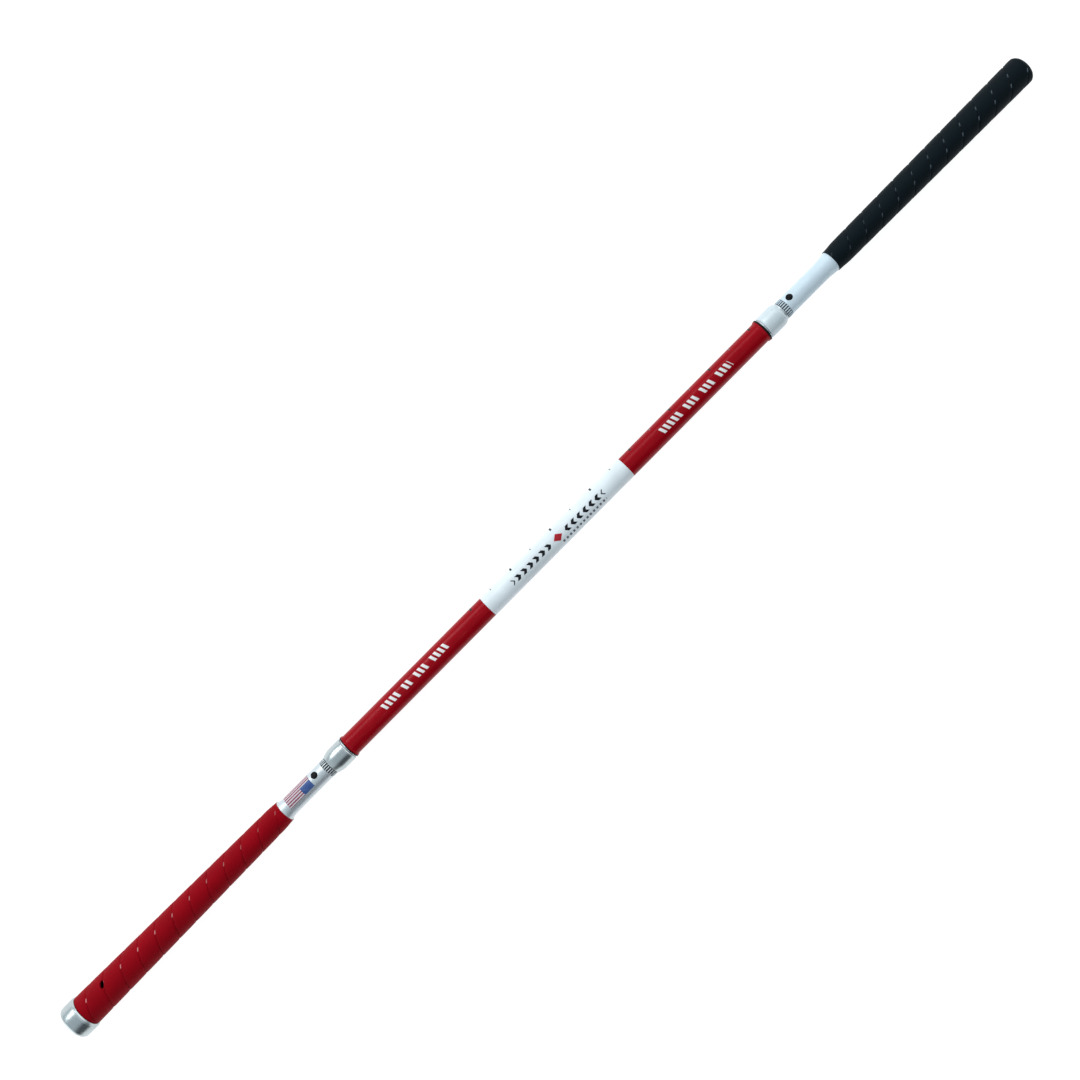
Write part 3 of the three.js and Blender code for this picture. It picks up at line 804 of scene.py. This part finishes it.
class STICK_OT_sleeves(Operator):
    """Make the red, white and red printed sleeves on the centre tube"""

    bl_idname = "swing_stick.sleeves"
    bl_label = "Sleeves"

    def execute(self, context):
        bore = reach("centre_tube")[2] + 0.1
        plain_r = reach("label_sleeve")[2] - 0.05
        for node, way in (("red_sleeve_heavy", -1), ("red_sleeve_light", 1)):
            low, high, lip_r = reach(node)
            outer, inner = (low, high) if way < 0 else (high, low)
            corners = [(inner, bore), (outer, bore), (outer, lip_r, 0.3)]
            outline = softened(corners + [(outer - way * 0.5, lip_r)])
            outline += s_curve(outer - way * 0.7, lip_r, outer - way * 2.6, plain_r)
            rest = [(outer - way * 9, plain_r), (inner, plain_r, 0.08), (inner, bore)]
            outline += softened(rest)[:-1]
            obj = piece(node + "_film", turned(outline), FINISHES["red_sleeve"])
            stands_for(obj, "stick", "red_sleeve", node)
        low, high, r = reach("label_sleeve")
        corners = [(low, bore), (low, r, 0.06), (high, r, 0.06), (high, bore)]
        obj = piece("label_sleeve_film", turned(softened(corners)), FINISHES["white_sleeve"])
        stands_for(obj, "stick", "white_sleeve", "label_sleeve")
        return {"FINISHED"}


class STICK_OT_seal_rings(Operator):
    """Make the black rings at the outer ends of the sleeves"""

    bl_idname = "swing_stick.seal_rings"
    bl_label = "Seal rings"

    def execute(self, context):
        bore = reach("centre_tube")[2] + 0.1
        for side in SIDES:
            low, high, r = reach(f"seal_ring_{side}")
            soft = (high - low) * 0.35
            corners = [(low, bore), (low, r, soft), (high, r, soft), (high, bore)]
            outline = softened(corners)
            obj = piece(f"seal_ring_{side}_moulded", turned(outline), FINISHES["black_plastic"])
            stands_for(obj, "stick", "black_plastic", f"seal_ring_{side}")
        return {"FINISHED"}


class STICK_OT_collars(Operator):
    """Make the two screw collars and the ring that shows beside the light one"""

    bl_idname = "swing_stick.collars"
    bl_label = "Collars"

    def execute(self, context):
        bore, wall, nose_r, hole = 10.4, 1.2, 10.0, 8.8
        shapes = (
            ("heavy", -1, 11.6, 6.5, "polished_aluminium"),
            # The light collar takes the lighter copy of the aluminium, painted for the brighter light on
            # that end.
            ("light", 1, 11.35, 3.2, "satin_aluminium"),
        )
        for side, way, r, taper, finish in shapes:
            low, high, _ = reach(f"collar_{side}")
            back, nose = (high, low) if way < 0 else (low, high)
            floor = reach(f"thrust_ring_{side}")[1 if way < 0 else 0] - way * 0.1
            corners = [
                (back, bore),
                (floor - way * wall, bore),
                (floor - way * wall, 8.05),
                (floor, 8.05),
                (floor, hole),
                (nose, hole),
                (nose, nose_r, 0.3),
                (nose - way * taper, r, 2.0),
                (back + way * 1.9, r),
                (back + way * 1.7, r - 0.12),
                (back + way * 1.5, r),
                (back + way * 0.9, r, 0.2),
                (back, r - 0.8, 0.2),
            ]
            outline = softened(corners)
            obj = piece(f"collar_{side}_turned", turned(outline), FINISHES[finish])
            stands_for(obj, f"{side}_collar", "polished_aluminium", f"collar_{side}")
        low, high, flange_r = reach("thrust_ring_light")
        flange_from = reach("collar_light")[1] + 0.2
        corners = [
            (low, 7.95),
            (high, 7.95),
            (high, flange_r, 0.25),
            (flange_from, flange_r, 0.25),
            (flange_from, 8.6),
            (low, 8.6),
        ]
        outline = softened(corners)
        obj = piece("thrust_ring_light_turned", turned(outline), FINISHES["bare_aluminium"])
        stands_for(obj, "light_thrust_ring", "bare_aluminium", "thrust_ring_light")
        return {"FINISHED"}


class STICK_OT_handle_tubes(Operator):
    """Make the two handle tubes with their finger ribs and button holes"""

    bl_idname = "swing_stick.handle_tubes"
    bl_label = "Handle tubes"

    def execute(self, context):
        metals = context.scene.stick_metals
        ribs = rib_ring_tree()
        heavy_flare = [(6.6, 9.0), (3.4, 9.35), (1.2, 9.95), (0, 10.5)]
        light_flare = [(14.5, 9.15), (9.5, 9.35), (5, 9.8), (0, 10.4)]
        shapes = (
            ("heavy", -1, "red_grip", heavy_flare, "bare_aluminium"),
            ("light", 1, "black_grip", light_flare, "painted_tube"),
        )
        for side, way, grip, flare, slot in shapes:
            node = f"handle_tube_{side}"
            low, high, _ = reach(node)
            start, end = (high, low) if way < 0 else (low, high)
            mouth = reach(grip)[1 if way < 0 else 0]
            ribs_to = start + way * 6.0
            neck_r, wide_r = flare[0][1], flare[-1][1]
            corners = [
                (start, NECK_BORE_R),
                (start, neck_r - RIB_SINK, 0.15),
                (ribs_to - way * 0.35, neck_r - RIB_SINK, 0.1),
                (ribs_to, neck_r, 0.1),
                *((mouth - way * back, r, 0.9) for back, r in flare[:-1]),
                (mouth, wide_r),
                (end, wide_r),
                (end, wide_r - 1),
                (mouth + way, wide_r - 1),
                (mouth - way * (flare[0][0] - 1), NECK_BORE_R),
            ]
            material = FINISHES[slot]
            tube = piece(f"{node}_drawn", turned(softened(corners)), material)
            outline = [
                (0, 4),
                (BUTTON_HOLE_R, 4),
                (BUTTON_HOLE_R, neck_r - 0.25),
                (BUTTON_HOLE_R + 0.4, 12),
                (0, 12),
            ]
            cut_away(tube, upright(middle_x(f"snap_button_{side}"), outline))
            if side == "heavy":
                outline = [(0, 5), (2.6, 5), (2.6, 14), (0, 14)]
                cut_away(tube, upright(middle_x("grub_screw"), outline))
            rib = piece("rib", finger_rib(start, ribs_to, neck_r, metals.rib_width / MM), material)
            values = {"Rib": rib, "Count": metals.ribs, "Material": material}
            run_tree(tube, ribs, values)
            bpy.data.objects.remove(rib)
            settle(tube.data)
            stands_for(tube, "stick", slot, node)
        return {"FINISHED"}


def finger_rib(start, end, neck_r, width):
    """One rib along the tube, crowned across and rounded at its ends."""
    length_mm = abs(end - start)
    way = 1 if end > start else -1
    vertices, faces = [], []
    rows, columns = 8, 6
    base_r = neck_r - 0.65
    for i in range(rows + 1):
        t = i / rows
        end_round = min(1.0, 5.5 * min(t, 1 - t) + 0.35)
        for k in range(columns + 1):
            u = 2 * k / columns - 1
            height = 0.85 * end_round * (1 - abs(u) ** 4)
            angle = u * width / 2 / neck_r
            r = base_r + height
            x = start + way * (0.15 + (length_mm - 0.3) * t)
            vertices.append((x, r * math.sin(angle), r * math.cos(angle)))
    across = columns + 1
    for i in range(rows):
        for k in range(columns):
            a = i * across + k
            faces.append([a, a + 1, a + across + 1, a + across])
    rim = list(range(columns + 1))
    rim += [i * across + columns for i in range(1, rows + 1)]
    rim += [rows * across + k for k in range(columns - 1, -1, -1)]
    rim += [i * across for i in range(rows - 1, 0, -1)]
    faces.append(rim[::-1])
    return vertices, faces


class STICK_OT_sticker(Operator):
    """Make the striped film on the weighted handle's neck"""

    bl_idname = "swing_stick.sticker"
    bl_label = "Sticker"

    def execute(self, context):
        low, high, _ = reach("striped_sticker")
        first, last = math.radians(-45.5), math.radians(49.5)
        inner, outer = 9.07, 9.2
        steps = 64
        vertices, faces = [], []
        for x in (low + 0.02, high - 0.02):
            for r in (inner, outer):
                for k in range(steps + 1):
                    angle = first + (last - first) * k / steps
                    vertices.append((x, r * math.sin(angle), r * math.cos(angle)))
        row = steps + 1
        # The film's four edges in order round it: low inner, low outer, high outer, high inner.
        loops = [0, 1, 3, 2]
        for k in range(steps):
            for a, b in zip(loops, loops[1:] + loops[:1]):
                faces.append([a * row + k, a * row + k + 1, b * row + k + 1, b * row + k])
        faces.append([loop * row for loop in loops])
        faces.append([loop * row + steps for loop in reversed(loops)])
        obj = piece("striped_sticker_film", rolled((vertices, faces)), FINISHES["printed_film"])
        stands_for(obj, "stick", "printed_film", "striped_sticker")
        return {"FINISHED"}


class STICK_OT_buttons(Operator):
    """Make the two black snap buttons"""

    bl_idname = "swing_stick.buttons"
    bl_label = "Snap buttons"

    def execute(self, context):
        for side in SIDES:
            node = f"snap_button_{side}"
            flange_r, flange_low, flange_top = 4.2, 4.4, 5.4
            corners = [
                (0, flange_low),
                (flange_r, flange_low),
                (flange_r, flange_top),
                (BUTTON_R, flange_top),
                (BUTTON_R, 9.6, 0.5),
                (BUTTON_R - 1.05, 10.12, 0.5),
                (0, 10.2),
            ]
            shape = upright(middle_x(node), softened(corners), 64)
            obj = piece(f"{node}_moulded", shape, FINISHES["black_plastic"])
            stands_for(obj, f"{side}_button", "black_plastic", node)
        return {"FINISHED"}


def grip_outline(corners, step):
    """Outline points with its long outer runs divided into short steps."""
    points = softened(corners)
    divided = []
    for (x0, r0), (x1, r1) in zip(points, points[1:] + points[:1]):
        divided.append((x0, r0))
        count = int(abs(x1 - x0) / step) if min(r0, r1) > 10.8 else 0
        for k in range(1, count):
            divided.append((x0 + (x1 - x0) * k / count, r0 + (r1 - r0) * k / count))
    return divided


class STICK_OT_grips(Operator):
    """Make the red and black rubber grips with their spiral seams"""

    bl_idname = "swing_stick.grips"
    bl_label = "Grips"

    def execute(self, context):
        grips = context.scene.stick_grips
        tree = wrapped_grip_tree()
        low, high, r = reach("red_grip")
        bore = 10.6
        corners = [
            (high, bore),
            (high, 10.95, 0.2),
            (high - 10, GRIP_END_R, 2),
            (low, r, 0.4),
            (low, bore),
        ]
        red = self.wrap("red_grip_moulded", corners, bore, tree, {
            "Pitch": grips.red_pitch,
            "Seam start": (low + 1) * MM,
            "Seam end": (high - 11) * MM,
            "Seam at x": grips.red_seam_x,
            "Material": FINISHES["red_rubber"],
        })
        grub = middle_x("grub_screw")
        outline = [(0, 11.2), (1, 11.2), (1, 14.4), (1.25, 17), (0, 17)]
        cut_away(red, slanted_oval(grub, outline, 2, 3.6, math.radians(30)), 40)
        cut_away(red, upright(grub, [(0, 8), (1.9, 8), (1.9, 12), (0, 12)]), 40)
        stands_for(red, "stick", "red_rubber", "red_grip")

        low, high, r = reach("black_grip")
        bore = 10.5
        corners = [
            (high, 1.2),
            (high - 5, 1.2),
            (high - 5, bore),
            (low, bore),
            (low, 11.0, 0.25),
            (low + 4, 11.1, 1.5),
            (low + 12, GRIP_END_R, 2.5),
            (high - 6, r, 2),
        ]
        dome, steps = 6, 8
        for k in range(1, steps + 1):
            angle = math.pi / 2 * k / steps
            corners.append((
                high - dome + dome * math.sin(angle),
                r - dome + dome * math.cos(angle),
            ))
        black = self.wrap("black_grip_moulded", corners, bore, tree, {
            "Pitch": grips.black_pitch,
            "Seam start": (low + 13) * MM,
            "Seam end": (high - 7) * MM,
            "Seam at x": grips.black_seam_x,
            "Material": FINISHES["black_rubber"],
        })
        stands_for(black, "stick", "black_rubber", "black_grip")
        return {"FINISHED"}

    def wrap(self, name, corners, bore, tree, values):
        grips = bpy.context.scene.stick_grips
        outline = grip_outline(corners, 0.55)
        mesh = bpy.data.meshes.new(name)
        mesh.from_pydata([(x * MM, r * MM, 0) for x, r in outline], [], [])
        obj = bpy.data.objects.new(name, mesh)
        bpy.context.scene.collection.objects.link(obj)
        values = dict(values)
        values.update({
            "Points": len(outline),
            "Segments": 120,
            "Bore radius": bore * MM,
            "Seam width": grips.seam_width,
            "Seam depth": grips.seam_depth,
            "Crown": grips.crown,
        })
        run_tree(obj, tree, values)
        settle(obj.data, 40)
        return obj


class STICK_OT_end_cap(Operator):
    """Make the polished end cap with its hexagon socket, and the screw in the grip"""

    bl_idname = "swing_stick.end_cap"
    bl_label = "End cap"

    def execute(self, context):
        low, high, r = reach("end_cap")
        back = reach("red_grip")[0] - 0.4
        stem = 7.0
        corners = [
            (high, 0),
            (high, stem, 0.6),
            (low + 6, stem),
            (low + 6, 11),
            (back, 11),
            (back, r - 1.3, 0.1),
            (back - 1.5, r, 0.2),
            (back - 2.2, r),
            (back - 2.5, r - 0.15),
            (back - 2.8, r),
            (low + 2.5, r, 1.0),
            (low + 0.7, r - 0.8, 0.6),
            (low + 0.01, r - 2.6, 0.6),
            (low + 0.01, 5.6),
            (low + 0.35, 5.2),
            (low + 0.35, 0),
        ]
        cap = piece("end_cap_turned", turned(softened(corners)), FINISHES["polished_aluminium"])
        key_width = 8
        across_corners = key_width / math.cos(math.pi / 6) / 2
        outline = [(low - 1, 0), (low - 1, across_corners), (low + 5, across_corners), (low + 5, 0)]
        cut_away(cap, turned(outline, 6))
        stands_for(cap, "end_cap", "polished_aluminium", "end_cap")

        x, top = middle_x("grub_screw"), 10.3
        corners = [(0, top - 2.9), (2.4, top - 2.9), (2.4, top, 0.3), (0, top)]
        grub = piece("grub_screw_turned", upright(x, softened(corners)), FINISHES["black_anodised"])
        outline = [(0, top - 1.6), (1.25, top - 1.6), (1.25, top + 1), (0, top + 1)]
        cut_away(grub, upright(x, outline, 6))
        stands_for(grub, "stick", "black_anodised", "grub_screw")
        return {"FINISHED"}


class STICK_OT_inner_parts(Operator):
    """Give the pieces that keep their CAD shape their finishes"""

    bl_idname = "swing_stick.inner_parts"
    bl_label = "Inner parts"

    def execute(self, context):
        kept = {
            "bare_aluminium": (
                "centre_tube", "spigot_heavy", "spigot_light", "thrust_ring_heavy", "ballast_stop",
            ),
            "black_anodised": ("ferrule_heavy", "ferrule_light"),
            "black_rubber": ("o_ring_heavy", "o_ring_light", "ballast_pad"),
            "spring_steel": ("button_spring_heavy", "button_spring_light", "cap_spring"),
            "white_nylon": ("ballast_liner", "butt_plug"),
            "steel": ("ballast_slug_1", "ballast_slug_2", "ballast_slug_3", "cap_insert"),
            "brass": ("cap_thrust_pad",),
        }
        for finish, names in kept.items():
            for name in names:
                obj = frame["nodes"][name]
                for slot in obj.material_slots:
                    slot.material = FINISHES[finish]
        return {"FINISHED"}


class STICK_OT_stage(Operator):
    """Make the floor, the lights and the camera"""

    bl_idname = "swing_stick.stage"
    bl_label = "Stage"

    def execute(self, context):
        stage = context.scene.stick_stage
        self.make_floor(stage)
        self.make_world(context.scene)
        self.make_light("key", 0, math.radians(51), 2.6, 0.55, stage.key_power)
        self.make_light("spark", -0.28, math.radians(60), 0.2, 0.22, stage.spark_power)
        self.make_camera(context.scene, stage)
        context.scene.view_settings.view_transform = "Standard"
        return {"FINISHED"}

    def make_floor(self, stage):
        half, z = 6.0, CAD_BOX[0][2]
        mesh = bpy.data.meshes.new("floor")
        corners = [(-half, -half, z), (half, -half, z), (half, half, z), (-half, half, z)]
        mesh.from_pydata(corners, [], [(0, 1, 2, 3)])
        floor = bpy.data.objects.new("floor", mesh)
        bpy.context.scene.collection.objects.link(floor)
        finish = Finish("floor")
        paper = finish.noise(finish.place, 0.8, 2)
        tint = finish.blend(paper, darker(stage.floor, 0.98), rgba(stage.floor))
        material = finish.shade(
            tint,
            0.9,
            emission_color=(1, 1, 1, 1),
            emission_strength=stage.floor_glow,
            specular_ior_level=0.0,
        )
        mesh.materials.append(material)

    def make_world(self, scene):
        world = bpy.data.worlds.new("studio")
        scene.world = world
        world.use_nodes = True
        nodes = Nodes(world.node_tree)
        nodes.tree.nodes.clear()
        way = nodes.add("ShaderNodeTexCoord").outputs["Generated"]
        parts = nodes.add("ShaderNodeSeparateXYZ", sockets={"Vector": way}).outputs
        along, to_side, height = (Value(nodes, part) for part in parts.values())
        dark = (0 - to_side).ramp(0.40, 0.70)
        tint = nodes.blend(dark, rgba((0.52, 0.58, 0.61)), rgba((0.06, 0.07, 0.08)))
        tint = nodes.blend(height.ramp(0.06, 0.01), tint, rgba((0.80, 0.82, 0.83)))
        tint = nodes.blend(abs(along).ramp(0.74, 0.90), tint, rgba((1.9, 1.9, 1.9)))
        light = nodes.add("ShaderNodeBackground", sockets={"Color": tint, "Strength": 1.0})
        output = nodes.add("ShaderNodeOutputWorld")
        nodes.tree.links.new(light.outputs[0], output.inputs["Surface"])

    def make_light(self, name, x, lean, width, height, power):
        """A soft box that faces the stick from +Y, leaning from the vertical by an angle."""
        lamp = bpy.data.lights.new(name, "AREA")
        lamp.shape = "RECTANGLE"
        lamp.size = width
        lamp.size_y = height
        lamp.energy = power
        light = bpy.data.objects.new(name, lamp)
        distance = 1.8
        light.location = (x, distance * math.sin(lean), distance * math.cos(lean))
        light.rotation_euler = (-lean, 0, 0)
        bpy.context.scene.collection.objects.link(light)

    def make_camera(self, scene, stage):
        data = bpy.data.cameras.new("camera")
        view_width = 0.9767
        data.sensor_width = 36
        data.lens = data.sensor_width * stage.camera_height / view_width
        camera = bpy.data.objects.new("camera", data)
        camera.location = (-0.0022, 0.0091, stage.camera_height)
        camera.rotation_euler = (0, 0, stage.camera_turn)
        scene.collection.objects.link(camera)
        scene.camera = camera


OPERATORS = (
    STICK_OT_finishes,
    STICK_OT_stage,
    STICK_OT_sleeves,
    STICK_OT_seal_rings,
    STICK_OT_collars,
    STICK_OT_handle_tubes,
    STICK_OT_sticker,
    STICK_OT_buttons,
    STICK_OT_grips,
    STICK_OT_end_cap,
    STICK_OT_inner_parts,
)


class STICK_PT_panel(Panel):
    """Lists the steps that build the stick, with their settings"""

    bl_idname = "STICK_PT_panel"
    bl_label = "Swing Trainer Stick"
    bl_space_type = "VIEW_3D"
    bl_region_type = "UI"
    bl_category = "Swing Stick"

    def draw(self, context):
        column = self.layout.column(align=True)
        for operator in OPERATORS:
            column.operator(operator.bl_idname)
        for name in SETTINGS:
            box = self.layout.box()
            settings = getattr(context.scene, name)
            for prop in settings.__annotations__:
                box.prop(settings, prop)


SETTINGS = {
    "stick_sleeves": SleeveSettings,
    "stick_metals": MetalSettings,
    "stick_grips": GripSettings,
    "stick_stage": StageSettings,
}


def register():
    for settings in SETTINGS.values():
        bpy.utils.register_class(settings)
    for name, settings in SETTINGS.items():
        setattr(bpy.types.Scene, name, PointerProperty(type=settings))
    for cls in (*OPERATORS, STICK_PT_panel):
        bpy.utils.register_class(cls)


def unregister():
    for cls in reversed((*OPERATORS, STICK_PT_panel)):
        bpy.utils.unregister_class(cls)
    for name, settings in SETTINGS.items():
        delattr(bpy.types.Scene, name)
        bpy.utils.unregister_class(settings)


def main():
    register()
    for operator in OPERATORS:
        group, name = operator.bl_idname.split(".")
        getattr(getattr(bpy.ops, group), name)()


if __name__ == "__main__":
    main()
